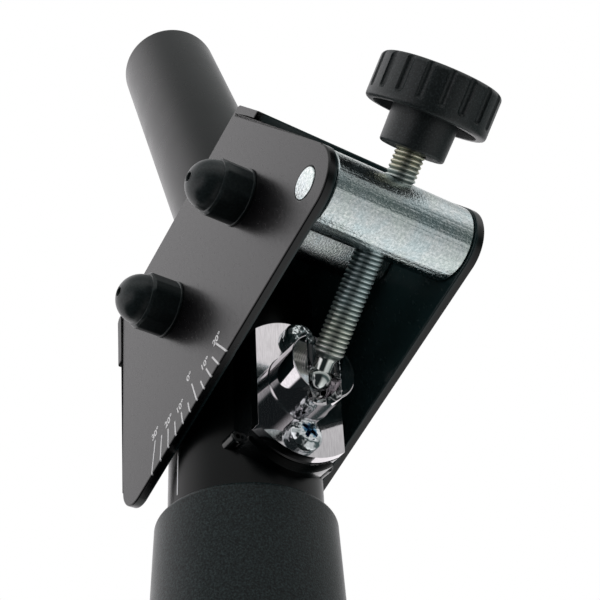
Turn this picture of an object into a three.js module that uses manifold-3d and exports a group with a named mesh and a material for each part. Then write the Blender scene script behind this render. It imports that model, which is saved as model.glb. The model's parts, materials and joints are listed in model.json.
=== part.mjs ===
// Tilting stand head: a folded bracket with a round spigot pivots on a round
// post and is set by a hand screw that turns in a cross barrel.
// Units are millimetres, +Z is up along the post, +X is the hand screw's side
// and Y runs along the bolts. The origin is the centre of the post's foot.
import * as THREE from 'three';
import Module from 'manifold-3d';

const wasm = await Module();
wasm.setup();

// ---- driving dimensions -------------------------------------------------
const GAP = 0.3;              // clearance between pieces that touch

const SLEEVE_H = 70;          // plastic collar on the post's foot
const SLEEVE_R = 23.8;
const SLEEVE_FLARE = 2.1;     // extra radius at the foot
const LIP_H = 4;              // inner lip under the post's end
const LIP_R = 18.3;

const POST_R = 20.5;          // lower tube
const POST_WALL = 2;
const PIVOT_Z = 133.5;        // height of the tilt axis
const POST_TOP = PIVOT_Z + 13;

const TILT = 21.3;            // degrees, tilt of the bracket at rest
const HALF_W = 24;            // half width over the cheeks
const SHEET = 2.8;            // sheet thickness
const EDGE_BOTTOM = -43.95;   // bracket outline, from the tilt axis
const EDGE_TOP = 30.1;
const FRONT_LEAN = 18.7;      // degrees, normal of the front edge
const FRONT_D = 57.7;
const BACK_LEAN = 163.7;      // degrees, normal of the back edge
const BACK_D = 28.56;
const FLANGE_LOW = 15.5;      // lower end of the front flange
const BACK_LOW = 12;          // lower end of the back flange
const CORNER_R = 10.6;        // corner around the cross barrel
const HEEL_R = 7;             // corner at the back

const SPIGOT_R = 17.5;        // upper tube
const SPIGOT_WALL = 2;
const SPIGOT_U = 13.9;        // its axis, ahead of the tilt axis
const SPIGOT_END = 170;       // distance of its end from the tilt axis

const BOLT_R = 3.97;          // M8 bolts
const BOLT_HOLE_R = 4.3;
const HEX_AF = 12.8;
const SPACER_U = 40.4;        // second bolt, in the bracket
const SPACER_V = -3.8;
const SPACER_R = 10;

const BARREL_U = 61.05;       // cross barrel, in the bracket
const BARREL_V = -33.27;
const BARREL_R = 10.2;
const TENON_R = 4.3;
const TENON_HOLE_R = 4.4;

const SCREW_ANGLE = 41.5;     // degrees, rise of the hand screw at rest
const SCREW_R = 4;            // M8 x 1.25
const SCREW_BORE_R = 4.12;
const BALL_R = 3.5;
const BALL_S = -44.29;        // ball centre, along the screw from the barrel
const NECK_R = 2.5;
const THREAD_S = -38.2;       // start of the thread
const SCREW_END = 34.8;       // end of the screw inside the knob

const HUB_S = 17.6;           // knob's hub face
const HUB_R = 8.7;
const SKIRT_S = 26.4;
const KNOB_TOP = 38.7;
const KNOB_R = 16.25;
const GROOVES = 18;

const PLATE_X0 = 24.5;        // socket plate, back and front
const PLATE_X1 = 27.5;
const PLATE_W = 13;           // half width
const CUP_X = 38.8;           // cup's front rim
const CUP_Z = -36.05;         // cup's axis, from the tilt axis
const CUP_R = 9.5;
const CHANNEL_R = 5;          // half-round channel down the cup's front, for the neck
const CHANNEL_X = 39.6;
const POCKET_R = 5;           // pocket for the ball
const POCKET_Z = -38.8;
const POCKET_FLOOR = 31.3;
const FIX_Z = [CUP_Z + 15, CUP_Z - 15];   // fixing screws, from the tilt axis
const FIX_R = 2.45;
const FIX_HOLE_R = 2.75;

// ---- helpers --------------------------------------------------------------
const rad = (deg) => (deg * Math.PI) / 180;

// closed manifold from a three.js geometry
function solid(geometry) {
  const flat = geometry.index ? geometry.toNonIndexed() : geometry;
  const position = flat.getAttribute('position');
  const lookup = new Map();
  const vertices = [];
  const triangles = [];
  const indexOf = (i) => {
    const p = [position.getX(i), position.getY(i), position.getZ(i)];
    const key = p.map((v) => Math.round(v * 1e4)).join();
    if (!lookup.has(key)) {
      lookup.set(key, vertices.length / 3);
      vertices.push(...p);
    }
    return lookup.get(key);
  };
  for (let i = 0; i < position.count; i += 3) {
    const [a, b, c] = [indexOf(i), indexOf(i + 1), indexOf(i + 2)];
    if (a !== b && b !== c && c !== a) triangles.push(a, b, c);
  }
  const volume = triangles.reduce((sum, _, i) => {
    if (i % 3) return sum;
    const [a, b, c] = [0, 1, 2].map((k) => new THREE.Vector3()
      .fromArray(vertices, triangles[i + k] * 3));
    return sum + a.dot(b.cross(c));
  }, 0);
  return new wasm.Manifold(new wasm.Mesh({
    numProp: 3,
    vertProperties: new Float32Array(vertices),
    triVerts: new Uint32Array(volume < 0 ? triangles.reverse() : triangles),
  }));
}

// turned solid about Z from a closed [radius, height] outline that runs
// anticlockwise when radius points right and height points up
function turned(outline, sides = 48) {
  const points = [...outline, outline[0]].map(([r, h]) => new THREE.Vector2(r, h));
  return solid(new THREE.LatheGeometry(points, sides).rotateX(Math.PI / 2));
}

function cylinder(radius, z0, z1, sides = 32) {
  return turned([[0, z0], [radius, z0], [radius, z1], [0, z1]], sides);
}

function pipe(outer, inner, z0, z1, sides = 48) {
  return turned([[inner, z0], [outer, z0], [outer, z1], [inner, z1]], sides);
}

function box(x0, x1, y0, y1, z0, z1) {
  const geometry = new THREE.BoxGeometry(x1 - x0, y1 - y0, z1 - z0);
  geometry.translate((x0 + x1) / 2, (y0 + y1) / 2, (z0 + z1) / 2);
  return solid(geometry);
}

// outline of [x, z] points extruded along Y between y0 and y1
function plateY(outline, y0, y1) {
  const shape = new THREE.Shape(outline.map(([x, z]) => new THREE.Vector2(x, z)));
  const geometry = new THREE.ExtrudeGeometry(shape, { depth: y1 - y0, bevelEnabled: false });
  geometry.rotateX(Math.PI / 2);
  geometry.translate(0, y1, 0);
  return solid(geometry);
}

// outline of [y, z] points extruded along X between x0 and x1
function plateX(outline, x0, x1) {
  const shape = new THREE.Shape(outline.map(([y, z]) => new THREE.Vector2(y, z)));
  const geometry = new THREE.ExtrudeGeometry(shape, { depth: x1 - x0, bevelEnabled: false });
  geometry.applyMatrix4(new THREE.Matrix4().makeBasis(
    new THREE.Vector3(0, 1, 0), new THREE.Vector3(0, 0, 1), new THREE.Vector3(1, 0, 0)));
  geometry.translate(x0, 0, 0);
  return solid(geometry);
}

const alongX = (body) => body.rotate([0, 90, 0]);
const alongY = (body) => body.rotate([-90, 0, 0]);
const mirrorY = (body) => body.mirror([0, 1, 0]);

// from the bracket's own axes (u forward, v along the spigot) to the frame
const inBracket = (body) => body.rotate([0, -TILT, 0]).translate([0, 0, PIVOT_Z]);

// from the hand screw's own Z axis, measured from the barrel, to the frame
const barrelX = BARREL_U * Math.cos(rad(TILT)) - BARREL_V * Math.sin(rad(TILT));
const barrelZ = PIVOT_Z + BARREL_U * Math.sin(rad(TILT)) + BARREL_V * Math.cos(rad(TILT));
const onScrew = (body) => body.rotate([0, 90 - SCREW_ANGLE, 0]).translate([barrelX, 0, barrelZ]);

const finishes = {
  powder: { color: 0x1c1d1e, roughness: 0.6, metalness: 0.1 },
  plastic: { color: 0x111112, roughness: 0.7, metalness: 0 },
  zinc: { color: 0xb9bdbb, roughness: 0.38, metalness: 0.9 },
  chrome: { color: 0xd8d8dc, roughness: 0.1, metalness: 1 },
};
const materials = Object.fromEntries(Object.entries(finishes).map(
  ([name, values]) => [name, new THREE.MeshStandardMaterial({ name, ...values })]));

const part = new THREE.Group();
part.name = 'tilting_stand_head';

function add(name, body, finish) {
  const mesh = body.getMesh();
  const step = mesh.numProp;
  const position = new Float32Array(mesh.triVerts.length * 3);
  mesh.triVerts.forEach((v, i) => {
    for (let k = 0; k < 3; k += 1) position[i * 3 + k] = mesh.vertProperties[v * step + k];
  });
  const geometry = new THREE.BufferGeometry();
  geometry.setAttribute('position', new THREE.BufferAttribute(position, 3));
  geometry.computeVertexNormals();
  const node = new THREE.Mesh(geometry, materials[finish]);
  node.name = name;
  part.add(node);
}

// ---- post ---------------------------------------------------------------
add('lower_sleeve', turned([
  [LIP_R, 0],
  [SLEEVE_R + SLEEVE_FLARE - 0.8, 0],
  [SLEEVE_R + SLEEVE_FLARE, 0.8],
  [SLEEVE_R, SLEEVE_H - 2.2],
  [SLEEVE_R - 0.35, SLEEVE_H - 0.8],
  [SLEEVE_R - 1.3, SLEEVE_H],
  [POST_R + GAP, SLEEVE_H],
  [POST_R + GAP, LIP_H],
  [LIP_R, LIP_H],
], 56), 'plastic');

const fixHoles = () => FIX_Z.map((z) => alongX(cylinder(FIX_HOLE_R, 10, 40, 20))
  .translate([0, 0, PIVOT_Z + z]));
const subtractAll = (body, cuts) => cuts.reduce((left, cut) => left.subtract(cut), body);

const postHoles = [
  alongY(cylinder(BOLT_HOLE_R, -30, 30, 24)).translate([0, 0, PIVOT_Z]),
  ...fixHoles(),
];
add('lower_tube', subtractAll(
  pipe(POST_R, POST_R - POST_WALL, LIP_H + GAP, POST_TOP, 56), postHoles), 'powder');

add('pivot_bush', alongY(pipe(6.5, BOLT_HOLE_R, -17, 17, 24)).translate([0, 0, PIVOT_Z]), 'zinc');

// black block that carries the socket on the round post
function archedOutline(halfWidth, shoulderTop, crown, shoulderLow, sag, count = 8) {
  const outline = [];
  for (let i = 0; i <= count; i += 1) {
    const y = halfWidth - (2 * halfWidth * i) / count;
    outline.push([y, shoulderTop + crown * (1 - (y / halfWidth) ** 2)]);
  }
  for (let i = 0; i <= count; i += 1) {
    const y = -halfWidth + (2 * halfWidth * i) / count;
    outline.push([y, shoulderLow - sag * (1 - (y / halfWidth) ** 2)]);
  }
  return outline;
}
const saddleEar = (side) => alongX(cylinder(1.9, 15, 18.9, 16)).translate([0, side * 13.6, -50.3]);
const saddleBody = plateX(archedOutline(12.6, -21, 5, -53, 5.2), 12, 22.2)
  .add(plateX(archedOutline(PLATE_W, -21.4, 5.2, -51.6, 5.2), 12, PLATE_X0 - GAP))
  .add(saddleEar(1))
  .add(saddleEar(-1))
  .translate([0, 0, PIVOT_Z])
  .subtract(cylinder(POST_R + GAP, 60, 140, 56));
add('saddle_block', subtractAll(saddleBody, fixHoles()), 'plastic');

// bright plate with the cup for the ball
const cup = alongX(turned([
  [0, PLATE_X1 - 1],
  [CUP_R, PLATE_X1 - 1],
  [CUP_R, CUP_X - 0.4],
  [CUP_R - 0.4, CUP_X],
  [0, CUP_X],
], 48)).translate([0, 0, CUP_Z]);
const pocket = alongX(turned([
  [0, POCKET_FLOOR],
  [POCKET_R - 2, POCKET_FLOOR],
  [POCKET_R, POCKET_FLOOR + 2],
  [POCKET_R, CUP_X + 2],
  [0, CUP_X + 2],
], 40)).translate([0, 0, POCKET_Z]);
const channel = cylinder(CHANNEL_R, CUP_Z - 14, CUP_Z + 14, 48).translate([CHANNEL_X, 0, 0]);
const socket = plateX(archedOutline(PLATE_W, -21.3, 5.8, -51.5, 5, 12), PLATE_X0, PLATE_X1)
  .add(cup)
  .subtract(pocket)
  .subtract(channel)
  .translate([0, 0, PIVOT_Z]);
add('ball_socket', subtractAll(socket, fixHoles()), 'chrome');

const crossRecess = () => box(-0.55, 0.55, -2.3, 2.3, 1.5, 5).add(box(-2.3, 2.3, -0.55, 0.55, 1.5, 5));
function fixingScrew() {
  const head = turned([
    [0, -12.6], [FIX_R, -12.6], [FIX_R, 0.3], [4.75, 0.3], [4.75, 1.6], [4.2, 2.8], [2.8, 3.5], [0, 3.7],
  ], 28);
  return alongX(head.subtract(crossRecess())).translate([PLATE_X1, 0, 0]);
}
['upper', 'lower'].forEach((place, i) => {
  add(`socket_screw_${place}`, fixingScrew().translate([0, 0, PIVOT_Z + FIX_Z[i]]), 'zinc');
});

// ---- bracket --------------------------------------------------------------
// point where the line with normal angle and distance meets height v
const uAt = (lean, distance, v) => (distance - v * Math.sin(rad(lean))) / Math.cos(rad(lean));

// polygon with rounded corners: [u, v, radius] each
function rounded(corners, step = 12) {
  const outline = [];
  corners.forEach(([u, v, radius], i) => {
    const corner = new THREE.Vector2(u, v);
    if (!radius) {
      outline.push([u, v]);
      return;
    }
    const before = corners[(i + corners.length - 1) % corners.length];
    const after = corners[(i + 1) % corners.length];
    const toBefore = new THREE.Vector2(before[0] - u, before[1] - v).normalize();
    const toAfter = new THREE.Vector2(after[0] - u, after[1] - v).normalize();
    const half = Math.acos(toBefore.dot(toAfter)) / 2;
    const centre = corner.clone().add(
      toBefore.clone().add(toAfter).normalize().multiplyScalar(radius / Math.sin(half)));
    const start = corner.clone().addScaledVector(toBefore, radius / Math.tan(half)).sub(centre);
    const sweep = Math.PI - 2 * half;
    const count = Math.max(2, Math.ceil((sweep * 180) / Math.PI / step));
    for (let k = 0; k <= count; k += 1) {
      const p = start.clone().rotateAround(new THREE.Vector2(), (sweep * k) / count).add(centre);
      outline.push([p.x, p.y]);
    }
  });
  return outline;
}

const backFoot = uAt(BACK_LEAN, BACK_D, EDGE_BOTTOM);
const frontFoot = uAt(FRONT_LEAN, FRONT_D, EDGE_BOTTOM);
const backHead = uAt(BACK_LEAN, BACK_D, EDGE_TOP - 1);
const frontHead = uAt(FRONT_LEAN, FRONT_D, EDGE_TOP - 1);
const cheekOutline = rounded([
  [backFoot, EDGE_BOTTOM, HEEL_R],
  [frontFoot, EDGE_BOTTOM, CORNER_R],
  [frontHead, EDGE_TOP - 1, 0],
  [backHead, EDGE_TOP - 1, 0],
]);
const cheek = plateY(cheekOutline, -HALF_W, -HALF_W + SHEET);

// top plate with its front and back flanges, folded from one strip
const outset = SHEET + 0.2;
const foldOutline = rounded([
  [uAt(BACK_LEAN, BACK_D + outset, BACK_LOW), BACK_LOW, 0],
  [uAt(BACK_LEAN, BACK_D + outset - SHEET, BACK_LOW), BACK_LOW, 0],
  [uAt(BACK_LEAN, BACK_D + outset - SHEET, EDGE_TOP - SHEET), EDGE_TOP - SHEET, 0],
  [uAt(FRONT_LEAN, FRONT_D + outset - SHEET, EDGE_TOP - SHEET), EDGE_TOP - SHEET, 0],
  [uAt(FRONT_LEAN, FRONT_D + outset - SHEET, FLANGE_LOW), FLANGE_LOW, 0],
  [uAt(FRONT_LEAN, FRONT_D + outset, FLANGE_LOW), FLANGE_LOW, 0],
  [uAt(FRONT_LEAN, FRONT_D + outset, EDGE_TOP), EDGE_TOP, 2.6],
  [uAt(BACK_LEAN, BACK_D + outset, EDGE_TOP), EDGE_TOP, 2.6],
], 30);
const fold = plateY(foldOutline, -HALF_W, HALF_W);
const boltHole = (radius, u, v, sides = 24) => alongY(cylinder(radius, -40, 40, sides))
  .translate([u, 0, v]);
const bracket = subtractAll(cheek.add(mirrorY(cheek)).add(fold), [
  boltHole(BOLT_HOLE_R, 0, 0),
  boltHole(BOLT_HOLE_R, SPACER_U, SPACER_V),
  boltHole(TENON_HOLE_R, BARREL_U, BARREL_V, 36),
]);
add('tilt_bracket', inBracket(bracket), 'powder');

add('upper_tube', inBracket(pipe(SPIGOT_R, SPIGOT_R - SPIGOT_WALL, EDGE_TOP + GAP, SPIGOT_END, 56)
  .translate([SPIGOT_U, 0, 0])), 'powder');

// ---- bolt sets: bolt, nut, washers and cap covers on both cheeks ------------
const hexagon = (halfFlats, z0, z1) => cylinder(halfFlats / Math.cos(Math.PI / 6), z0, z1, 6);
const WASHER_0 = HALF_W + GAP;
const WASHER_1 = WASHER_0 + 1.6;
const HEAD_0 = WASHER_1 + GAP;
const coverOutline = [
  [7.75, 0], [8.5, 0], [8.5, 1.2], [8.1, 8.8], [6.3, 12.6], [3.6, 15.7], [2.2, 16.1],
  [0, 15.2], [0, 13.4], [7.75, 9],
];

function boltSet(name, u, v) {
  const place = (body) => inBracket(alongY(body).translate([u, 0, v]));
  const bolt = hexagon(HEX_AF / 2, HEAD_0, HEAD_0 + 5.3)
    .add(cylinder(BOLT_R, -34.6, HEAD_0 + 1, 24));
  const nut = hexagon(HEX_AF / 2, -HEAD_0 - 6.5, -HEAD_0)
    .subtract(cylinder(BOLT_HOLE_R, -50, 0, 24));
  const washer = pipe(7.4, BOLT_HOLE_R, WASHER_0, WASHER_1, 28);
  const cover = turned(coverOutline, 24).translate([0, 0, WASHER_0]);
  add(`${name}_bolt`, place(bolt), 'zinc');
  add(`${name}_nut`, place(nut), 'zinc');
  add(`${name}_washer_near`, place(washer.mirror([0, 0, 1])), 'zinc');
  add(`${name}_washer_far`, place(washer), 'zinc');
  add(`${name}_cap_near`, place(cover.mirror([0, 0, 1])), 'plastic');
  add(`${name}_cap_far`, place(cover), 'plastic');
}
boltSet('pivot', 0, 0);
boltSet('spacer', SPACER_U, SPACER_V);
add('spacer_tube', inBracket(alongY(
  pipe(SPACER_R, BOLT_HOLE_R, -HALF_W + SHEET + GAP, HALF_W - SHEET - GAP, 32))
  .translate([SPACER_U, 0, SPACER_V])), 'zinc');

// ---- cross barrel and hand screw ---------------------------------------------
const barrelHalf = HALF_W - SHEET - GAP;
const barrelBody = alongY(turned([
  [0, -HALF_W - 0.15], [TENON_R, -HALF_W - 0.15], [TENON_R, -barrelHalf], [BARREL_R - 0.5, -barrelHalf],
  [BARREL_R, -barrelHalf + 0.5], [BARREL_R, barrelHalf - 0.5], [BARREL_R - 0.5, barrelHalf],
  [TENON_R, barrelHalf], [TENON_R, HALF_W + 0.15], [0, HALF_W + 0.15],
], 36));
add('cross_barrel', onScrew(barrelBody.subtract(cylinder(SCREW_BORE_R, -20, 20, 24))), 'zinc');

function ballProfile(count = 6) {
  const top = Math.asin(NECK_R / BALL_R);
  const points = [];
  for (let i = 0; i <= count; i += 1) {
    const a = -Math.PI / 2 + ((Math.PI - top) * i) / count;
    points.push([i === 0 ? 0 : BALL_R * Math.cos(a), BALL_S + BALL_R * Math.sin(a)]);
  }
  return points;
}
add('hand_screw', onScrew(turned([
  ...ballProfile(),
  [NECK_R, THREAD_S - 1.2],
  [SCREW_R, THREAD_S],
  [SCREW_R, SCREW_END - 0.8],
  [SCREW_R - 0.8, SCREW_END],
  [0, SCREW_END],
], 24)), 'zinc');

const knobBody = turned([
  [SCREW_R + GAP, HUB_S], [HUB_R, HUB_S], [HUB_R + 0.3, 30.5],
  [13.3, 30.5], [13.8, SKIRT_S], [KNOB_R - 0.7, SKIRT_S],
  [KNOB_R, SKIRT_S + 0.7], [KNOB_R, KNOB_TOP - 1.2], [KNOB_R - 1.2, KNOB_TOP],
  [0, KNOB_TOP],
  [0, SCREW_END + GAP], [SCREW_R + GAP, SCREW_END + GAP],
], 36);
const groove = cylinder(1.25, SKIRT_S + 2.2, KNOB_TOP + 1, 6);
const grooves = Array.from({ length: GROOVES }, (_, i) => groove
  .translate([KNOB_R + 0.45, 0, 0])
  .rotate([0, 0, (360 * (i + 0.5)) / GROOVES]));
add('knob', onScrew(subtractAll(knobBody, grooves)), 'plastic');

export default part;
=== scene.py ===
"""Looks of the tilting stand head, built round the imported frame.

Lengths in the building code are millimetres and are scaled to metres when a
mesh is made. "Bracket" coordinates have X forward, Z along the spigot and the
tilt axis at the origin; "screw" coordinates have Z along the hand screw and
the cross barrel's centre at the origin.
"""

import json
import math

import bmesh
import bpy
from mathutils import Matrix, Vector
from mathutils.geometry import tessellate_polygon


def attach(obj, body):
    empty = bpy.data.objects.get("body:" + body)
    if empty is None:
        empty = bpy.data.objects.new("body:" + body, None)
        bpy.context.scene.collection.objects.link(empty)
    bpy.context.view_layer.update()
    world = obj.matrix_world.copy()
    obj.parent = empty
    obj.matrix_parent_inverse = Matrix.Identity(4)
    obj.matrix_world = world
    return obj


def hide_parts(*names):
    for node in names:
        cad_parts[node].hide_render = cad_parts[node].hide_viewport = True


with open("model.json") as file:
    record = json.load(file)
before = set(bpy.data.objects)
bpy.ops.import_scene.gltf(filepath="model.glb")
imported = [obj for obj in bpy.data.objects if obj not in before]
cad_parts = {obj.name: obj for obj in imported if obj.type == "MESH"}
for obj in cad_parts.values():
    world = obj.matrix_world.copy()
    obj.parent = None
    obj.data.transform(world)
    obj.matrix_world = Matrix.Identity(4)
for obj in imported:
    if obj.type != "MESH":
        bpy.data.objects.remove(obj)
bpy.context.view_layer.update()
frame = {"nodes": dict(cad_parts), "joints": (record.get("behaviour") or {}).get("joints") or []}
nodes = frame["nodes"]

# ---- places and sizes, as in the frame ----------------------------------------

MM = 0.001
rad = math.radians

PIVOT_Z = frame["joints"][0]["pos_m"][2] / MM
TILT = 21.3
HALF_W = 24.0                   # half width over the bracket's cheeks
SHEET = 2.8                     # sheet thickness
EDGE_BOTTOM = -43.95            # bracket outline, from the tilt axis
EDGE_TOP = 30.1
FRONT = (18.7, 57.7)            # front and back edges: lean in degrees, distance from the axis
BACK = (163.7, 28.56)
FLANGE_LOW = 15.5               # lower end of the front flange
BACK_LOW = 12                   # and of the back one
CORNER_R = 10.6                 # corner round the cross barrel
HEEL_R = 7.0

SLEEVE_H = 70
SLEEVE_R = 23.8
FOOT_R = 25.9
LIP_R = 18.3                    # lip under the post's end
LIP_H = 4
POST_R = 20.5
SPIGOT_R = 17.5
SPIGOT_U = 13.9                 # its axis, ahead of the tilt axis
SPIGOT_END = 170
WALL = 2                        # of both tubes

SPACER = (40.4, -3.8)           # second bolt, in the bracket
SPACER_R = 10
BOLT_HOLE_R = 4.3
BARREL = (61.05, -33.27)        # cross barrel, in the bracket
BARREL_R = 10.2
TENON_R = 4.35
SCREW_ANGLE = 41.5              # degrees, rise of the hand screw at rest
SCREW_R = 4.0                   # crest and root of its thread
ROOT_R = 3.52
PITCH = 1.25

CUP_Z = -36.05                  # cup's axis, from the tilt axis
CUP_R = 9.5
CUP_FRONT = 38.8
POCKET_R = 5                    # pocket for the ball and channel for its neck
FIX_Z = (CUP_Z + 15, CUP_Z - 15)
FIX_HOLE_R = 2.7

BRACKET = Matrix.Translation((0, 0, PIVOT_Z * MM)) @ Matrix.Rotation(rad(-TILT), 4, "Y")
barrel_centre = BRACKET @ Vector((BARREL[0] * MM, 0, BARREL[1] * MM))
SCREW = Matrix.Translation(barrel_centre) @ Matrix.Rotation(rad(90 - SCREW_ANGLE), 4, "Y")
POST = Matrix.Identity(4)
AT_PIVOT = Matrix.Translation((0, 0, PIVOT_Z * MM))
ALONG_X = Matrix(((0, 0, 1, 0), (0, 1, 0, 0), (-1, 0, 0, 0), (0, 0, 0, 1)))
ALONG_Y = Matrix.Rotation(rad(-90), 4, "X")
FACE_XZ = Matrix.Rotation(rad(90), 4, "X")
FACE_YZ = Matrix(((0, 0, 1, 0), (1, 0, 0, 0), (0, 1, 0, 0), (0, 0, 0, 1)))


def move(x, y, z):
    return Matrix.Translation((x, y, z))


# ---- mesh helpers -----------------------------------------------------------


def rounded(corners, step=9.0, closed=True):
    """Points of an outline whose corners (x, y, radius) are rounded."""
    points = []
    count = len(corners)
    for i, (x, y, radius) in enumerate(corners):
        if not radius or (not closed and i in (0, count - 1)):
            points.append((x, y))
            continue
        corner = Vector((x, y))
        back = (Vector(corners[i - 1][:2]) - corner).normalized()
        ahead = (Vector(corners[(i + 1) % count][:2]) - corner).normalized()
        half = back.angle(ahead) / 2
        centre = corner + (back + ahead).normalized() * (radius / math.sin(half))
        start = corner + back * (radius / math.tan(half)) - centre
        end = corner + ahead * (radius / math.tan(half)) - centre
        first = math.atan2(start.y, start.x)
        sweep = (math.atan2(end.y, end.x) - first + math.pi) % (2 * math.pi) - math.pi
        steps = max(3, math.ceil(abs(math.degrees(sweep)) / step))
        for k in range(steps + 1):
            a = first + sweep * k / steps
            points.append((centre.x + radius * math.cos(a), centre.y + radius * math.sin(a)))
    return points


def circle(x, y, radius, sides=48):
    return [(x + radius * math.cos(2 * math.pi * k / sides),
             y + radius * math.sin(2 * math.pi * k / sides)) for k in range(sides)]


def circle3(radius, z, sides):
    return [(x, y, z) for x, y in circle(0, 0, radius, sides)]


def surface(rings, loop=False):
    """Closed surface through rings of points; a ring of one point is a tip."""
    bm = bmesh.new()
    made = [[bm.verts.new(p) for p in ring] for ring in rings]
    pairs = list(zip(made, made[1:])) + ([(made[-1], made[0])] if loop else [])
    for a, b in pairs:
        for k in range(max(len(a), len(b))):
            corners = [a[k % len(a)], a[(k + 1) % len(a)], b[(k + 1) % len(b)], b[k % len(b)]]
            bm.faces.new(list(dict.fromkeys(corners)))
    bmesh.ops.recalc_face_normals(bm, faces=bm.faces)
    return bm


def lathe(profile, sides=96, loop=False):
    """Solid turned about Z from (radius, height) points."""
    rings = []
    for radius, height in profile:
        if radius < 1e-6:
            rings.append([(0, 0, height)])
        else:
            rings.append(circle3(radius, height, sides))
    return surface(rings, loop)


def prism(loops, z0, z1):
    """Plate between two heights; the first loop is its outline, the rest are holes."""
    bm = bmesh.new()
    low = [[bm.verts.new((x, y, z0)) for x, y in loop] for loop in loops]
    high = [[bm.verts.new((x, y, z1)) for x, y in loop] for loop in loops]
    for a, b in zip(low, high):
        for k in range(len(a)):
            j = (k + 1) % len(a)
            bm.faces.new((a[k], a[j], b[j], b[k]))
    triangles = tessellate_polygon([[Vector((x, y, 0)) for x, y in loop] for loop in loops])
    for level in (low, high):
        flat = [v for loop in level for v in loop]
        for triangle in triangles:
            bm.faces.new([flat[i] for i in triangle])
    bmesh.ops.recalc_face_normals(bm, faces=bm.faces)
    return bm


def spun(bm, matrix):
    """The mesh, moved by a matrix whose lengths are millimetres."""
    bm.transform(matrix)
    return bm


def to_object(name, bm):
    mesh = bpy.data.meshes.new(name)
    bm.transform(Matrix.Scale(MM, 4))
    bm.to_mesh(mesh)
    bm.free()
    obj = bpy.data.objects.new(name, mesh)
    bpy.context.scene.collection.objects.link(obj)
    return obj


def settle(obj):
    """Applies the object's modifiers to its mesh."""
    graph = bpy.context.evaluated_depsgraph_get()
    mesh = bpy.data.meshes.new_from_object(obj.evaluated_get(graph))
    obj.modifiers.clear()
    obj.data = mesh


def combine(obj, tools, operation):
    """Adds or cuts away each tool mesh."""
    for bm in tools:
        tool = to_object("tool", bm)
        boolean = obj.modifiers.new("boolean", "BOOLEAN")
        boolean.operation = operation
        boolean.solver = "EXACT"
        boolean.object = tool
        settle(obj)
        bpy.data.objects.remove(tool)


def soften(obj, width, segments=3, angle=35.0, keep=None):
    """Rounds every edge sharper than angle, except those that keep() picks."""
    bm = bmesh.new()
    bm.from_mesh(obj.data)
    bmesh.ops.remove_doubles(bm, verts=bm.verts, dist=1e-6)
    bmesh.ops.dissolve_limit(bm, angle_limit=rad(0.6), verts=bm.verts, edges=bm.edges)
    sharp = [e for e in bm.edges if len(e.link_faces) == 2 and e.calc_face_angle() > rad(angle)]
    if keep:
        sharp = [e for e in sharp if not keep(e)]
    bmesh.ops.bevel(bm, geom=sharp, offset=width * MM, segments=segments, profile=0.5,
                    affect="EDGES", clamp_overlap=keep is None, offset_type="OFFSET")
    bmesh.ops.recalc_face_normals(bm, faces=bm.faces)
    bm.to_mesh(obj.data)
    bm.free()


def piece(obj, matrix, body, surface_material, stands_for=(), crease=50.0):
    """Puts a finished piece in place, on its body and with its material."""
    obj.matrix_world = matrix
    obj.data.materials.clear()
    obj.data.materials.append(surface_material)
    obj.data.shade_smooth()
    obj.data.set_sharp_from_angle(angle=rad(crease))
    weighted = obj.modifiers.new("normals", "WEIGHTED_NORMAL")
    weighted.keep_sharp = True
    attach(obj, body)
    if stands_for:
        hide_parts(*stands_for)
    return obj


# ---- materials --------------------------------------------------------------


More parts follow.
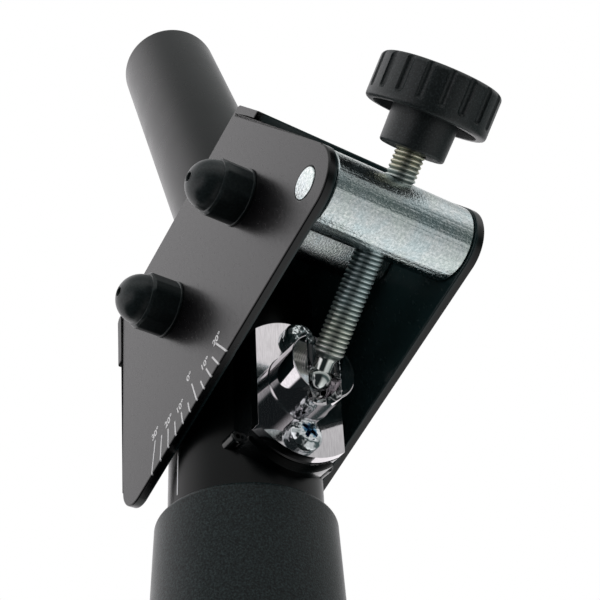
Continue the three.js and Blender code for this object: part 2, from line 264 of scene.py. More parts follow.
class Look:
    """A node material with a few short-hands."""

    def __init__(self, name, color, roughness, metallic=0.0, **sockets):
        self.material = bpy.data.materials.new(name)
        self.material.use_nodes = True
        self.tree = self.material.node_tree
        self.shader = self.tree.nodes["Principled BSDF"]
        self.shader.inputs["Base Color"].default_value = (*color, 1)
        self.shader.inputs["Roughness"].default_value = roughness
        self.shader.inputs["Metallic"].default_value = metallic
        for name, value in sockets.items():
            self.shader.inputs[name.replace("_", " ")].default_value = value
        self.coordinates = self.node("ShaderNodeTexCoord").outputs["Object"]

    def node(self, kind, **values):
        made = self.tree.nodes.new(kind)
        for key, value in values.items():
            setattr(made, key, value)
        return made

    def link(self, source, target):
        self.tree.links.new(source, target)

    def stretched(self, x, y, z):
        mapping = self.node("ShaderNodeMapping")
        mapping.inputs["Scale"].default_value = (x, y, z)
        self.link(self.coordinates, mapping.inputs["Vector"])
        return mapping.outputs["Vector"]

    def noise(self, scale, detail=2.0, rough=0.5, vector=None):
        noise = self.node("ShaderNodeTexNoise")
        noise.inputs["Scale"].default_value = scale
        noise.inputs["Detail"].default_value = detail
        noise.inputs["Roughness"].default_value = rough
        self.link(vector or self.coordinates, noise.inputs["Vector"])
        return noise.outputs["Fac"]

    def ramp(self, source, *stops):
        ramp = self.node("ShaderNodeValToRGB")
        elements = ramp.color_ramp.elements
        while len(elements) < len(stops):
            elements.new(0.5)
        for element, (place, color) in zip(elements, stops):
            element.position = place
            element.color = (*color, 1)
        self.link(source, ramp.inputs["Fac"])
        return ramp.outputs["Color"]

    def scaled(self, source, low, high, new_low, new_high):
        scaled = self.node("ShaderNodeMapRange")
        for name, value in (("From Min", low), ("From Max", high),
                            ("To Min", new_low), ("To Max", new_high)):
            scaled.inputs[name].default_value = value
        self.link(source, scaled.inputs["Value"])
        return scaled.outputs["Result"]

    def mix(self, factor, a, b):
        mix = self.node("ShaderNodeMix", data_type="RGBA")
        self.link(factor, mix.inputs["Factor"])
        for name, value in (("A", a), ("B", b)):
            socket = next(s for s in mix.inputs if s.name == name and s.type == "RGBA")
            if isinstance(value, tuple):
                socket.default_value = (*value, 1)
            else:
                self.link(value, socket)
        return next(s for s in mix.outputs if s.type == "RGBA")

    def times(self, a, b):
        product = self.node("ShaderNodeMix", data_type="RGBA", blend_type="MULTIPLY")
        product.inputs["Factor"].default_value = 1.0
        sockets = [s for s in product.inputs if s.type == "RGBA"]
        self.link(a, sockets[0])
        self.link(b, sockets[1])
        return next(s for s in product.outputs if s.type == "RGBA")

    def from_axis(self):
        """Distance from the piece's own Z axis."""
        flat = self.node("ShaderNodeVectorMath", operation="MULTIPLY")
        flat.inputs[1].default_value = (1, 1, 0)
        self.link(self.coordinates, flat.inputs[0])
        length = self.node("ShaderNodeVectorMath", operation="LENGTH")
        self.link(flat.outputs["Vector"], length.inputs[0])
        return length.outputs["Value"]

    def ragged(self, source, noise, amount):
        """The source, with a share of a noise added."""
        added = self.node("ShaderNodeMath", operation="MULTIPLY_ADD")
        self.link(noise, added.inputs[0])
        added.inputs[1].default_value = amount
        self.link(source, added.inputs[2])
        return added.outputs[0]

    def along(self, axis):
        split = self.node("ShaderNodeSeparateXYZ")
        self.link(self.coordinates, split.inputs["Vector"])
        return split.outputs[axis]

    def color(self, source):
        self.link(source, self.shader.inputs["Base Color"])

    def roughness(self, source):
        self.link(source, self.shader.inputs["Roughness"])

    def bump(self, source, strength, distance, under=None):
        bump = self.node("ShaderNodeBump")
        bump.inputs["Strength"].default_value = strength
        bump.inputs["Distance"].default_value = distance * MM
        self.link(source, bump.inputs["Height"])
        if under:
            self.link(under, bump.inputs["Normal"])
        self.link(bump.outputs["Normal"], self.shader.inputs["Normal"])
        self.normal = bump.outputs["Normal"]


def coated(name, color, roughness, grain, height, spread=0.06, speck=1.35, pit=0.7, specular=0.5):
    """Paint or plastic: fine grain in relief, slight change of tone and gloss."""
    look = Look(name, color, roughness, Specular_IOR_Level=specular)
    fine = look.noise(grain, 3.0, 0.6)
    broad = look.noise(60.0, 2.0)
    dark = tuple(c * pit for c in color)
    light = tuple(c * speck for c in color)
    look.color(look.ramp(fine, (0.35, dark), (0.52, color), (0.66, light)))
    look.roughness(look.scaled(broad, 0.3, 0.7, roughness - spread, roughness + spread))
    look.bump(fine, 0.6, height)
    return look


def streaked(look, x, y, z, amount, height):
    """Orange peel drawn out along one direction, in tone and in relief."""
    peel = look.noise(1.0, 3.0, 0.55, look.stretched(x, y, z))
    look.bump(peel, 1.0, height, look.normal)
    look.roughness(look.scaled(peel, 0.3, 0.7, amount[0], amount[1]))


OUTER_PAINT = (0.0052, 0.0046, 0.0054)
# painted light: the same paint, made lighter and greener between the cheeks to lift the shade
# inside the bracket
PAINTED_INNER_LIGHT = (0.0300, 0.0640, 0.0680)      # lighter and greener between the cheeks
bracket_paint = coated("bracket_powder_coat", OUTER_PAINT, 0.26, 1500, 0.004, 0.03)
streaked(bracket_paint, 1300, 1300, 430, (0.22, 0.28), 0.0050)
# mask across the bracket: the faces between the cheeks take the painted inner light, the outer
# faces the plain paint
across = bracket_paint.node("ShaderNodeMath", operation="ABSOLUTE")
bracket_paint.link(bracket_paint.along("Y"), across.inputs[0])
bracket_paint.color(bracket_paint.ramp(
    bracket_paint.scaled(across.outputs[0], 0.0208, 0.0228, 0.0, 1.0),
    (0.2, PAINTED_INNER_LIGHT), (0.8, OUTER_PAINT)))
TUBE_PAINT = (0.0010, 0.0022, 0.0024)
post_paint = coated("post_powder_coat", TUBE_PAINT, 0.28, 1700, 0.006, 0.03, specular=0.22)
spigot_paint = coated("spigot_powder_coat", TUBE_PAINT, 0.28, 1700, 0.006, 0.03, specular=0.31)
collar_plastic = coated("collar_grained_plastic", (0.0200, 0.0305, 0.0315), 0.32, 2100, 0.12, 0.03,
                        speck=2.1, pit=0.2, specular=0.22)
block_plastic = coated("moulded_black", (0.0035, 0.0052, 0.0056), 0.18, 1200, 0.01, specular=0.8)
cap_plastic = coated("cap_plastic", (0.0270, 0.0370, 0.0385), 0.32, 1500, 0.016, specular=0.38)
knob_plastic = coated("knob_plastic", (0.0270, 0.0340, 0.0350), 0.40, 2500, 0.06, 0.05, speck=2.2)


def zinc(name, tint=(0.66, 0.70, 0.70), roughness=0.18, speck=1900, height=0.16, dulled=0.66):
    """Bright zinc plate: sparkling fine grain with faint passivation colours."""
    look = Look(name, tint, roughness, 1.0)
    fine = look.noise(speck, 3.0, 0.65)
    cloud = look.noise(150.0, 2.0)
    dull = tuple(c * dulled for c in tint)
    bright = tuple(min(0.94, c * 1.3) for c in tint)
    tone = look.ramp(fine, (0.34, dull), (0.5, tint), (0.64, bright))
    warm = look.ramp(cloud, (0.38, (0.92, 0.98, 1.0)), (0.5, (1, 1, 1)),
                     (0.64, (0.98, 1.0, 0.97)))
    look.color(look.times(tone, warm))
    look.roughness(look.scaled(fine, 0.3, 0.7, roughness + 0.10, roughness - 0.06))
    look.bump(fine, 0.7, height)
    return look


zinc_plate = zinc("zinc_plate")
zinc_barrel = zinc("zinc_plate_barrel", (0.70, 0.765, 0.77), 0.09, 1500, 0.18, 0.84)
drawn = zinc_barrel.noise(1.0, 2.0, 0.6, zinc_barrel.stretched(620, 9, 620))
zinc_barrel.bump(drawn, 0.9, 0.22, zinc_barrel.normal)

# the screw's plating changes tone along its length and is smooth at the ball; its colour also has
# painted shade in the thread roots and a painted highlight on the crests
screw_zinc = Look("zinc_plate_screw", (0.62, 0.64, 0.62), 0.34, 1.0)
length = screw_zinc.scaled(screw_zinc.along("Z"), -0.048, 0.020, 0.0, 1.0)
tones = screw_zinc.ramp(
    screw_zinc.ragged(length, screw_zinc.noise(260.0, 2.0), 0.16),
    (0.10, (0.74, 0.79, 0.79)), (0.24, (0.80, 0.82, 0.76)), (0.32, (0.74, 0.77, 0.68)),
    (0.46, (0.62, 0.71, 0.71)), (0.84, (0.62, 0.71, 0.72)), (0.96, (0.70, 0.74, 0.70)),
    (1.0, (0.80, 0.77, 0.62)))
# painted shade and highlight: darker towards the root radius, brighter than the plating at the
# crests
root = screw_zinc.ramp(
    screw_zinc.scaled(screw_zinc.from_axis(), 0.0035, 0.0040, 0.0, 1.0),
    (0.05, (0.30, 0.35, 0.35)), (0.5, (0.80, 0.82, 0.82)), (0.9, (1.25, 1.25, 1.25)))
threaded = screw_zinc.ramp(
    screw_zinc.scaled(screw_zinc.along("Z"), -0.0389, -0.0381, 0.0, 1.0),
    (0.0, (1, 1, 1)), (1.0, (0, 0, 0)))
# the painted thread shade and highlight are left off the neck and ball
plain = screw_zinc.mix(threaded, root, (1.0, 1.0, 1.0))
screw_zinc.color(screw_zinc.times(tones, plain))
screw_zinc.bump(screw_zinc.noise(3000.0, 2.0), 0.4, 0.008)
screw_zinc.roughness(screw_zinc.scaled(screw_zinc.along("Z"), -0.0389, -0.0381, 0.11, 0.46))

chrome = Look("bright_chrome", (0.72, 0.69, 0.71), 0.035, 1.0)
chrome.bump(chrome.noise(95.0, 1.0), 0.35, 0.10)
chrome.color(chrome.ramp(chrome.noise(1.0, 2.0, 0.6, chrome.stretched(2400, 2400, 260)),
                         (0.32, (0.66, 0.63, 0.65)), (0.68, (0.78, 0.75, 0.77))))
chrome.roughness(chrome.scaled(chrome.noise(900.0, 2.0), 0.35, 0.75, 0.03, 0.09))

fixing_zinc = Look("zinc_plate_fixing", (0.74, 0.79, 0.80), 0.13, 1.0)
fixing_zinc.bump(fixing_zinc.noise(620.0, 1.0), 0.9, 0.42)

# the lower one has a patch of blue thread lock in and round its recess, and its zinc is painted
# lighter than the upper one's: a painted highlight
locked_zinc_painted_highlight = Look("zinc_plate_fixing_locked", (0.86, 0.90, 0.92), 0.13, 1.0)
ragged = locked_zinc_painted_highlight.ragged(locked_zinc_painted_highlight.from_axis(), locked_zinc_painted_highlight.noise(700.0, 2.0), 0.0034)
locked_zinc_painted_highlight.color(locked_zinc_painted_highlight.ramp(
    locked_zinc_painted_highlight.scaled(ragged, 0.0, 0.006, 0.0, 1.0),
    (0.46, (0.03, 0.13, 0.28)), (0.56, (0.22, 0.42, 0.56)), (0.64, (0.86, 0.90, 0.92))))
locked_zinc_painted_highlight.bump(locked_zinc_painted_highlight.noise(620.0, 1.0), 0.9, 0.42)

print_white = Look("printed_white", (0.92, 0.92, 0.92), 0.5)
print_white.color(print_white.ramp(
    print_white.noise(2600.0, 2.0), (0.3, (0.88, 0.88, 0.88)), (0.5, (1.0, 1.0, 1.0))))

# ---- post -------------------------------------------------------------------

sleeve = to_object("sleeve", lathe(rounded([
    (LIP_R, 0, 0.2), (FOOT_R, 0, 0.8), (SLEEVE_R, SLEEVE_H, 1.6), (POST_R + 0.15, SLEEVE_H, 0.5),
    (POST_R + 0.15, LIP_H, 0), (LIP_R, LIP_H, 0.2)]), 160, True))
piece(sleeve, POST, "post", collar_plastic.material, ["lower_sleeve"])


def hole_x(radius, z, x0=5, x1=45, sides=40):
    return spun(lathe([(0, x0), (radius, x0), (radius, x1), (0, x1)], sides),
                move(0, 0, z) @ ALONG_X)


def hole_y(radius, x, z, reach=40, sides=48):
    return spun(lathe([(0, -reach), (radius, -reach), (radius, reach), (0, reach)], sides),
                move(x, 0, z) @ ALONG_Y)


post_tube = to_object("post_tube", lathe(rounded([
    (POST_R - WALL, LIP_H + 0.2, 0.3), (POST_R, LIP_H + 0.2, 0.3), (POST_R, PIVOT_Z + 13, 0.5),
    (POST_R - WALL, PIVOT_Z + 13, 0.5)]), 160, True))
combine(post_tube, [hole_y(BOLT_HOLE_R, 0, PIVOT_Z)] + [hole_x(2.75, PIVOT_Z + z) for z in FIX_Z],
        "DIFFERENCE")
piece(post_tube, POST, "post", post_paint.material, ["lower_tube"])


def arched(half_width, top, crown, bottom, sag, count=28):
    """Outline in Y and Z of a plate with bowed top and bottom edges."""
    points = []
    for edge, bow in ((top, crown), (bottom, -sag)):
        for i in range(count + 1):
            t = 1 - 2 * i / count
            y = half_width * (t if edge == top else -t)
            points.append((y, edge + bow * (1 - t * t)))
    return points


def peg_x(profile, y, z, sides):
    """Solid turned about an axis along X at (y, z)."""
    return spun(lathe(rounded(profile, closed=False), sides), move(0, y, z) @ ALONG_X)


EAR = [(0, 14, 0), (1.9, 14, 0), (1.9, 18.9, 0.6), (0, 18.9, 0)]
EAR_HOLE = [(0, 17.4, 0), (0.65, 17.4, 0), (0.65, 22, 0), (0, 22, 0)]
EAR_Y, EAR_HOLE_Y, EAR_Z = 13.6, 13.7, -50.3

saddle = to_object("saddle", spun(prism([arched(12.6, -21, 5, -53, 5.2)], 12, 22.3), FACE_YZ))
combine(saddle, [spun(prism([arched(13, -21.4, 5.2, -51.6, 5.2)], 12, 24.45), FACE_YZ),
                 peg_x(EAR, EAR_Y, EAR_Z, 40), peg_x(EAR, -EAR_Y, EAR_Z, 40)], "UNION")
combine(saddle, [lathe([(0, -80), (POST_R + 0.02, -80), (POST_R + 0.02, 40), (0, 40)], 160),
                 hole_x(FIX_HOLE_R, FIX_Z[0]), hole_x(FIX_HOLE_R, FIX_Z[1]),
                 peg_x(EAR_HOLE, EAR_HOLE_Y, EAR_Z, 20), peg_x(EAR_HOLE, -EAR_HOLE_Y, EAR_Z, 20)],
        "DIFFERENCE")
soften(saddle, 0.42)
piece(saddle, AT_PIVOT, "post", block_plastic.material, ["saddle_block"])

# the cup is a round boss with a pocket for the ball and a half-round channel down its front
PLATE_BACK, PLATE_FRONT = 24.5, 27.5
boss = [(0, 26), (CUP_R + 0.25, 26), (CUP_R + 0.25, 27.55), (CUP_R + 0.08, 27.75), (CUP_R, 28.1),
        (CUP_R, CUP_FRONT - 0.35), (CUP_R - 0.1, CUP_FRONT - 0.1), (CUP_R - 0.35, CUP_FRONT)]
turned_marks = [(9.0 - 0.31 * k, CUP_FRONT - 0.10 * (k % 2)) for k in range(15)]
socket = to_object("socket", spun(prism(
    [arched(13, -21.3, 5.8, -51.5, 5)], PLATE_BACK, PLATE_FRONT), FACE_YZ))
combine(socket, [spun(lathe(boss + turned_marks + [(0, CUP_FRONT)], 128),
                      move(0, 0, CUP_Z) @ ALONG_X)], "UNION")
pocket = peg_x([(0, 31.3, 0), (POCKET_R, 31.3, 2.6), (POCKET_R, 41, 0), (0, 41, 0)], 0, -38.8, 96)
channel = lathe([(0, -15), (POCKET_R, -15), (POCKET_R, 15), (0, 15)], 128)
combine(socket, [pocket, spun(channel, move(39.6, 0, CUP_Z)), hole_x(FIX_HOLE_R, FIX_Z[0]),
                 hole_x(FIX_HOLE_R, FIX_Z[1])], "DIFFERENCE")
soften(socket, 0.22, 3, 40)
piece(socket, AT_PIVOT, "post", chrome.material, ["ball_socket"])


def cross(reach, width):
    w = width
    return [(reach, w), (w, w), (w, reach), (-w, reach), (-w, w), (-reach, w),
            (-reach, -w), (-w, -w), (-w, -reach), (w, -reach), (w, -w), (reach, -w)]


def recess():
    """Tapered cross for the driver."""
    top = [(x, y, 4.1) for x, y in cross(2.75, 0.62)]
    low = [(x, y, 1.3) for x, y in cross(1.1, 0.4)]
    return surface([[(0, 0, 4.1)], top, low, [(0, 0, 0.9)]])


def fixing(name, z, look, node, turn):
    head = to_object(name, lathe(rounded([
        (0, -12.6, 0), (2.45, -12.6, 0.3), (2.45, 0.02, 0), (4.75, 0.02, 0.15), (4.75, 2.2, 1.3),
        (3.4, 3.55, 1.6), (0, 3.75, 0)], closed=False, step=6), 96))
    combine(head, [spun(recess(), Matrix.Rotation(rad(turn), 4, "Z"))], "DIFFERENCE")
    soften(head, 0.12, 2, 40)
    place = AT_PIVOT @ Matrix.Translation((PLATE_FRONT * MM, 0, z * MM)) @ ALONG_X
    piece(head, place, "post", look.material, [node])


fixing("fixing_upper", FIX_Z[0], fixing_zinc, "socket_screw_upper", 20)
fixing("fixing_lower", FIX_Z[1], locked_zinc_painted_highlight, "socket_screw_lower", 62)

# ---- bracket ----------------------------------------------------------------


def u_at(lean, distance, v):
    """Where a leaning edge is at height v."""
    return (distance - v * math.sin(rad(lean))) / math.cos(rad(lean))


OUTSET = SHEET + 0.2
FLANGE = SHEET - 0.3
top_inside = EDGE_TOP - 1.2
cheek_outline = rounded([
    (u_at(*BACK, EDGE_BOTTOM), EDGE_BOTTOM, HEEL_R),
    (u_at(*FRONT, EDGE_BOTTOM), EDGE_BOTTOM, CORNER_R),
    (u_at(*FRONT, top_inside), top_inside, 0), (u_at(*BACK, top_inside), top_inside, 0)], 5)


def at_edge(edge, out, v, radius=0):
    """Corner at height v, a distance outside the cheek's front or back edge."""
    return (u_at(edge[0], edge[1] + out, v), v, radius)


fold_outline = rounded([
    at_edge(BACK, OUTSET, BACK_LOW), at_edge(BACK, OUTSET - FLANGE, BACK_LOW),
    at_edge(BACK, OUTSET - FLANGE, EDGE_TOP - SHEET, 0.8),
    at_edge(FRONT, OUTSET - FLANGE, EDGE_TOP - SHEET, 0.8),
    at_edge(FRONT, OUTSET - FLANGE, FLANGE_LOW), at_edge(FRONT, OUTSET, FLANGE_LOW),
    at_edge(FRONT, OUTSET, EDGE_TOP, 2.6), at_edge(BACK, OUTSET, EDGE_TOP, 2.6)], 12)
holes = [circle(0, 0, BOLT_HOLE_R), circle(*SPACER, BOLT_HOLE_R), circle(*BARREL, TENON_R + 0.07)]
bracket = to_object("bracket", spun(prism([fold_outline], -HALF_W, HALF_W), FACE_XZ))
combine(bracket, [
    spun(prism([cheek_outline] + holes, HALF_W - SHEET, HALF_W), FACE_XZ),
    spun(prism([cheek_outline] + holes, -HALF_W, -HALF_W + SHEET), FACE_XZ)], "UNION")


def slit_root(edge):
    """Short edges where a flange's slit ends at the top plate."""
    middle = (edge.verts[0].co + edge.verts[1].co) / 2 / MM
    return edge.calc_length() < 0.8 * MM and middle.z > 26.5 and abs(middle.y) > 20.5


soften(bracket, 0.5, 3, keep=slit_root)
piece(bracket, BRACKET, "bracket", bracket_paint.material, ["tilt_bracket"])

spigot = to_object("spigot", lathe(rounded([
    (SPIGOT_R - WALL, EDGE_TOP - 0.05, 0), (SPIGOT_R, EDGE_TOP - 0.05, 0),
    (SPIGOT_R, SPIGOT_END, 0.6), (SPIGOT_R - WALL, SPIGOT_END, 0.5)]), 160, True))
piece(spigot, BRACKET @ Matrix.Translation((SPIGOT_U * MM, 0, 0)), "bracket",
      spigot_paint.material, ["upper_tube"])

# ---- cap covers: a six-sided body under a dome with a moulded dimple ----------

CAP_SIDES = 120
CAP_SEAT = HALF_W + 0.05


def cap_mesh():
    profile = rounded([
        (7.6, 0, 0), (8.3, 0, 0.1), (8.3, 0.6, 0.1), (8.15, 0.7, 0), (8.15, 8.2, 0.15),
        (7.62, 9.0, 0.12), (7.2, 9.1, 0)], closed=False)
    profile += [(7.15 * math.cos(rad(a)), 8.9 + 7.1 * math.sin(rad(a))) for a in range(4, 78, 4)]
    profile += [(1.62, 15.85), (1.4, 15.8), (1.25, 15.6), (1.15, 14.4), (0, 14.2)]
    rings = [[(0, 0, 8.0)], circle3(7.0, 8.0, CAP_SIDES)]
    for radius, height in profile:
        if radius < 1e-6:
            rings.append([(0, 0, height)])
            continue
        flat = 99.0
        if height > 0.65:
            flat = 7.72 - max(0.0, height - 8.0) * 0.10
        ring = []
        for k in range(CAP_SIDES):
            a = 2 * math.pi * k / CAP_SIDES
            across = math.cos((a + math.pi / 6) % (math.pi / 3) - math.pi / 6)
            r = min(radius, flat / across)
            ring.append((r * math.cos(a), r * math.sin(a), height))
        rings.append(ring)
    return surface(rings)


def cap(name, place, side, node, turn):
    obj = to_object(name, cap_mesh())
    toward = ALONG_Y if side > 0 else FACE_XZ
    matrix = (BRACKET @ Matrix.Translation((place[0] * MM, side * CAP_SEAT * MM, place[1] * MM))
              @ toward @ Matrix.Rotation(rad(turn), 4, "Z"))
    piece(obj, matrix, "bracket", cap_plastic.material, [node], 42)


cap("pivot_cover_near", (0, 0), -1, "pivot_cap_near", 8)
cap("pivot_cover_far", (0, 0), 1, "pivot_cap_far", 25)
cap("spacer_cover_near", SPACER, -1, "spacer_cap_near", 14)
cap("spacer_cover_far", SPACER, 1, "spacer_cap_far", 40)

spacer = to_object("spacer", spun(lathe(rounded([
    (BOLT_HOLE_R, -21.1, 0.2), (SPACER_R, -21.1, 0.5), (SPACER_R, 21.1, 0.5),
    (BOLT_HOLE_R, 21.1, 0.2)]), 96, True), ALONG_Y))
piece(spacer, BRACKET @ Matrix.Translation((SPACER[0] * MM, 0, SPACER[1] * MM)), "bracket",
      zinc_plate.material, ["spacer_tube"])

# ---- scale ------------------------------------------------------------------

TICKS = {30: 40.8, 25: 40.8, 20: 40.8, 15: 40.9, 10: 40.6, 5: 40.6, 0: 36.6,
         -5: 40.4, -10: 39.9, -15: 40.2, -20: 38.4}
LABELS = [("20", 14.1, -35.7), ("10", 7.0, -37.2), ("0", -0.2, -33.2), ("10", -7.0, -37.7),
          ("20", -13.0, -36.2), ("30", -19.7, -33.3)]
INK = 0.03


def tick(angle, inner):
    """Printed line that runs over the rounded lower edge of the cheek."""
    edge = 0.5
    spine = [(inner * math.cos(rad(angle)), 0.0)]
    spine += [(-EDGE_BOTTOM - edge + edge * math.sin(rad(a)), edge - edge * math.cos(rad(a)))
              for a in range(0, 66, 13)]
    bm = bmesh.new()
    rings = []
    for down, inward in spine:
        across = -math.tan(rad(angle)) * down
        ring = []
        for side, lift in ((-1, INK), (1, INK), (1, -0.1), (-1, -0.1)):
            width = 0.27 / math.cos(rad(angle))
            slope = min(1.0, inward / edge)
            ring.append(bm.verts.new((across + side * width, -HALF_W + inward - lift * (1 - slope),
                                      -down - lift * slope)))
        rings.append(ring)
    for a, b in zip(rings, rings[1:]):
        for k in range(4):
            bm.faces.new((a[k], a[(k + 1) % 4], b[(k + 1) % 4], b[k]))
    bm.faces.new(rings[0])
    bm.faces.new(rings[-1])
    bmesh.ops.recalc_face_normals(bm, faces=bm.faces)
    return bm


def label(text, u, v):
    """Number and degree ring, read along the lower edge."""
    curve = bpy.data.curves.new("label", "FONT")
    curve.body = text + "°"
    curve.size = 2.85
    curve.align_x = "CENTER"
    curve.align_y = "CENTER"
    curve.extrude = 0.05
    curve.offset = 0.085
    font = bpy.data.objects.new("label", curve)
    bpy.context.scene.collection.objects.link(font)
    graph = bpy.context.evaluated_depsgraph_get()
    mesh = bpy.data.meshes.new_from_object(font.evaluated_get(graph))
    bpy.data.objects.remove(font)
    bm = bmesh.new()
    bm.from_mesh(mesh)
    bmesh.ops.remove_doubles(bm, verts=bm.verts, dist=1e-4)
    return spun(bm, move(u, -HALF_W + 0.05 - INK, v) @ FACE_XZ)


def joined(name, parts):
    bm = bmesh.new()
    for part in parts:
        mesh = bpy.data.meshes.new("part")
        part.to_mesh(mesh)
        part.free()
        bm.from_mesh(mesh)
        bpy.data.meshes.remove(mesh)
    return to_object(name, bm)


scale = joined("degree_scale", [tick(a, r) for a, r in TICKS.items()]
               + [label(*entry) for entry in LABELS])
piece(scale, BRACKET, "bracket", print_white.material)

INDEX_TOP, INDEX_END = -40.0, -59.4
half = 0.24 / POST_R
index_rings = []
for z in (INDEX_TOP, INDEX_END):
    ring = []
    for radius, turn in ((POST_R - 0.1, -half), (POST_R + INK, -half), (POST_R + INK, half),
                         (POST_R - 0.1, half)):
        ring.append((radius * math.sin(turn), -radius * math.cos(turn), z))
    index_rings.append(ring)
index = to_object("index_line", surface(
    [[(0, -POST_R, INDEX_TOP)]] + index_rings + [[(0, -POST_R, INDEX_END)]]))
piece(index, AT_PIVOT, "post", print_white.material)

# ---- cross barrel, hand screw and knob ----------------------------------------

barrel = to_object("barrel", spun(lathe(rounded([
    (0, -24.15, 0), (TENON_R, -24.15, 0.3), (TENON_R, -20.9, 0), (BARREL_R, -20.9, 0.5),
    (BARREL_R, 20.9, 0.5), (TENON_R, 20.9, 0), (TENON_R, 24.15, 0.3), (0, 24.15, 0)],
    closed=False), 128), ALONG_Y))
combine(barrel, [lathe([(0, -20), (4.12, -20), (4.12, 20), (0, 20)], 64)], "DIFFERENCE")
soften(barrel, 0.25, 2, 40)
piece(barrel, SCREW, "barrel", zinc_barrel.material, ["cross_barrel"])


def thread_radius(phase):
    """Radius over one pitch of an M8 coarse thread, phase 0 to 1 from the root."""
    rise = abs((phase % 1.0) - 0.5) * 2
    t = min(1.0, max(0.0, (0.98 - rise) / 0.8))
    return ROOT_R + (SCREW_R - ROOT_R) * (0.5 - 0.5 * math.cos(math.pi * t))


def screw_mesh(sides=48, per_pitch=12):
    """Ball, neck and helical thread, with the plain end that the knob hides."""
    ball, ball_r, neck_r = -44.29, 3.5, 2.5
    start, thread_end, end, plain_r = -38.2, 20.0, 34.8, 3.3
    join = math.asin(neck_r / ball_r)
    rings = [[(0, 0, ball - ball_r)]]
    for i in range(1, 33):
        a = -math.pi / 2 + (math.pi - join) * i / 32
        rings.append(circle3(ball_r * math.cos(a), ball + ball_r * math.sin(a), sides))
    rings.append(circle3(neck_r, start - 1.0, sides))
    steps = int((thread_end - start) / PITCH * per_pitch)
    for i in range(steps + 1):
        s = start + i * PITCH / per_pitch
        ring = []
        for k in range(sides):
            a = 2 * math.pi * k / sides
            r = min(thread_radius(s / PITCH - k / sides), 2.9 + (s - start) * 1.1)
            ring.append((r * math.cos(a), r * math.sin(a), s))
        rings.append(ring)
    rings.append(circle3(plain_r, thread_end + 0.4, sides))
    rings.append(circle3(plain_r, end, sides))
    rings.append([(0, 0, end)])
    return surface(rings)


screw = to_object("screw", screw_mesh())
piece(screw, SCREW, "screw", screw_zinc.material, ["hand_screw"], 38)

HUB_S, SKIRT_S, KNOB_TOP, KNOB_R = 17.6, 26.4, 38.7, 16.25
GROOVES, GROOVE_R, GROOVE_AT, GROOVE_END = 18, 1.25, 16.72, 29.9


def groove_floor(turn, z):
    """Radius of the flute's surface, or a large number outside it."""
    reach = GROOVE_R ** 2 - max(0.0, GROOVE_END - z) ** 2 - (GROOVE_AT * math.sin(turn)) ** 2
    if reach <= 0:
        return 99.0
    return GROOVE_AT * math.cos(turn) - math.sqrt(reach)


def knob_mesh():
    bore = rounded([(4.05, 36, 0), (4.05, HUB_S, 0.3), (8.7, HUB_S, 0.7), (9.0, 30.5, 0.6),
                    (13.3, 30.5, 0.6), (13.9, SKIRT_S, 0.3)], closed=False)
    outer = [(KNOB_R - 1.2, SKIRT_S), (KNOB_R - 0.75, SKIRT_S + 0.06),
             (KNOB_R - 0.35, SKIRT_S + 0.27), (KNOB_R - 0.1, SKIRT_S + 0.6),
             (KNOB_R, SKIRT_S + 1.1)]
    z = SKIRT_S + 1.7
    while z < GROOVE_END + 0.4:
        outer.append((KNOB_R, z))
        z += 0.16
    outer += [(KNOB_R, 32.5), (KNOB_R, 34.5)]
    rim = 1.6
    outer += [(KNOB_R - rim + rim * math.cos(rad(a)), KNOB_TOP - rim + rim * math.sin(rad(a)))
              for a in range(0, 91, 9)]
    spread = [math.asin(1.24 * math.sin(rad(a)) / GROOVE_AT) for a in range(-90, 91, 18)]
    pitch = 2 * math.pi / GROOVES
    gap = [spread[-1] + 0.006 + (pitch - 2 * spread[-1] - 0.012) * i / 6 for i in range(7)]
    turns = [(g * pitch + t, t if t < pitch / 2 else t - pitch)
             for g in range(GROOVES) for t in spread + gap]
    rings = [[(0, 0, 36)]]
    for radius, height in bore:
        rings.append([(radius * math.cos(a), radius * math.sin(a), height) for a, _ in turns])
    for radius, height in outer:
        ring = []
        for a, t in turns:
            r = min(radius, groove_floor(t, height))
            ring.append((r * math.cos(a), r * math.sin(a), height))
        rings.append(ring)
    rings.append([(0, 0, KNOB_TOP)])
    return surface(rings)


knob = to_object("knob_fluted", knob_mesh())
piece(knob, SCREW, "knob", knob_plastic.material, ["knob"], 55)

# ---- frame nodes that stay as they are ----------------------------------------

for node in nodes.values():
    if not node.hide_render:
        node.data.materials.clear()
        node.data.materials.append(zinc_plate.material)

# ---- floor, light and camera --------------------------------------------------

floor_look = Look("pale_floor", (0.80, 0.80, 0.80), 0.7)
floor_look.color(floor_look.ramp(
    floor_look.noise(3.0, 2.0), (0.3, (0.79, 0.79, 0.79)), (0.7, (0.82, 0.82, 0.82))))
bm = bmesh.new()
bmesh.ops.create_grid(bm, x_segments=2, y_segments=2, size=3000)
floor = to_object("floor", spun(bm, move(0, 0, -300)))
floor.data.materials.append(floor_look.material)
floor.visible_glossy = False
floor.visible_diffuse = False

scene = bpy.context.scene
scene.view_settings.view_transform = "Standard"

world = bpy.data.worlds.new("studio")
world.use_nodes = True
scene.world = world
tree = world.node_tree
background = tree.nodes["Background"]
direction = tree.nodes.new("ShaderNodeTexCoord").outputs["Generated"]


def world_range(source, low, high):
    """Smooth step from 0 at low to 1 at high."""
    made = tree.nodes.new("ShaderNodeMapRange")
    made.interpolation_type = "SMOOTHSTEP"
    made.inputs["From Min"].default_value = low
    made.inputs["From Max"].default_value = high
    tree.links.new(source, made.inputs["Value"])
    return made.outputs["Result"]


def world_mix(factor, a, b):
    made = tree.nodes.new("ShaderNodeMix")
    made.data_type = "RGBA"
    tree.links.new(factor, made.inputs["Factor"])
    for socket, value in zip([s for s in made.inputs if s.type == "RGBA"], (a, b)):
        if isinstance(value, tuple):
            socket.default_value = (*value, 1)
        else:
            tree.links.new(value, socket)
    return next(s for s in made.outputs if s.type == "RGBA")


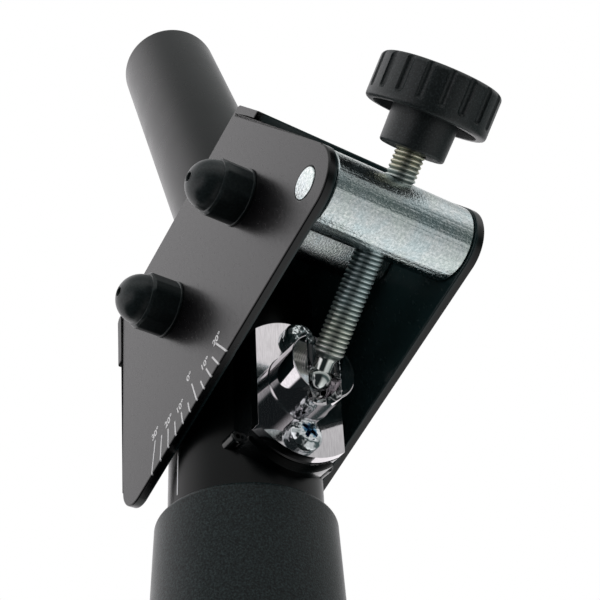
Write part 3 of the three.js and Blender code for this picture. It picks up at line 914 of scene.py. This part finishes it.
# white tent behind and to the left; from the front, light from above and below with a dark gap,
# and a bright strip at the near side
split = tree.nodes.new("ShaderNodeSeparateXYZ")
tree.links.new(direction, split.inputs["Vector"])
height = tree.nodes.new("ShaderNodeMapRange")
height.inputs["From Min"].default_value = -1.0
tree.links.new(split.outputs["Z"], height.inputs["Value"])
front = tree.nodes.new("ShaderNodeValToRGB")
front.color_ramp.interpolation = "EASE"
stops = ((0.0, 0.72), (0.06, 0.72), (0.12, 0.58), (0.20, 0.52), (0.28, 0.44), (0.38, 0.10),
         (0.50, 0.07), (0.58, 0.34), (0.76, 0.56), (0.81, 0.85), (0.86, 0.80), (0.95, 0.42))
while len(front.color_ramp.elements) < len(stops):
    front.color_ramp.elements.new(0.5)
for element, (place, value) in zip(front.color_ramp.elements, stops):
    element.position = place
    element.color = (max(0.0, value * 1.03 - 0.026), value, value, 1)
tree.links.new(height.outputs["Result"], front.inputs["Fac"])
facing = tree.nodes.new("ShaderNodeVectorMath")
facing.operation = "DOT_PRODUCT"
facing.inputs[1].default_value = (0.985, 0.174, 0.0)
tree.links.new(direction, facing.inputs[0])
side_strip = world_mix(world_range(split.outputs["Y"], -0.80, -0.90), (0.013, 0.017, 0.018),
                       (0.80, 0.78, 0.80))
lower = world_mix(world_range(split.outputs["X"], 0.15, -0.35), front.outputs["Color"],
                  (0.84, 0.86, 0.86))
under = world_mix(world_range(split.outputs["Z"], -0.25, -0.45), front.outputs["Color"], lower)
below = world_mix(world_range(split.outputs["Y"], -0.15, 0.35), side_strip, under)
front_side = world_mix(world_range(split.outputs["Z"], 0.20, -0.05), front.outputs["Color"], below)
tent = world_mix(world_range(facing.outputs["Value"], -0.62, -0.02), (1.15, 1.13, 1.15),
                 front_side)
studio = world_mix(world_range(split.outputs["Z"], -0.30, -0.40), tent, below)
seen = tree.nodes.new("ShaderNodeLightPath").outputs["Is Camera Ray"]
tree.links.new(world_mix(seen, studio, (1.0, 1.0, 1.0)), background.inputs["Color"])

camera_data = bpy.data.cameras.new("camera")
camera_data.sensor_width = 36
camera_data.lens = 80.495
camera_data.clip_start = 0.01
camera = bpy.data.objects.new("camera", camera_data)
scene.collection.objects.link(camera)
camera.matrix_world = Matrix((
    (0.54384338, 0.55261042, 0.63155055, 0.25964246),
    (0.8380118, -0.31781345, -0.4435435, -0.16132912),
    (-0.0443915, 0.77046501, -0.63593479, -0.10588121),
    (0, 0, 0, 1)))
scene.camera = camera

bpy.context.view_layer.update()
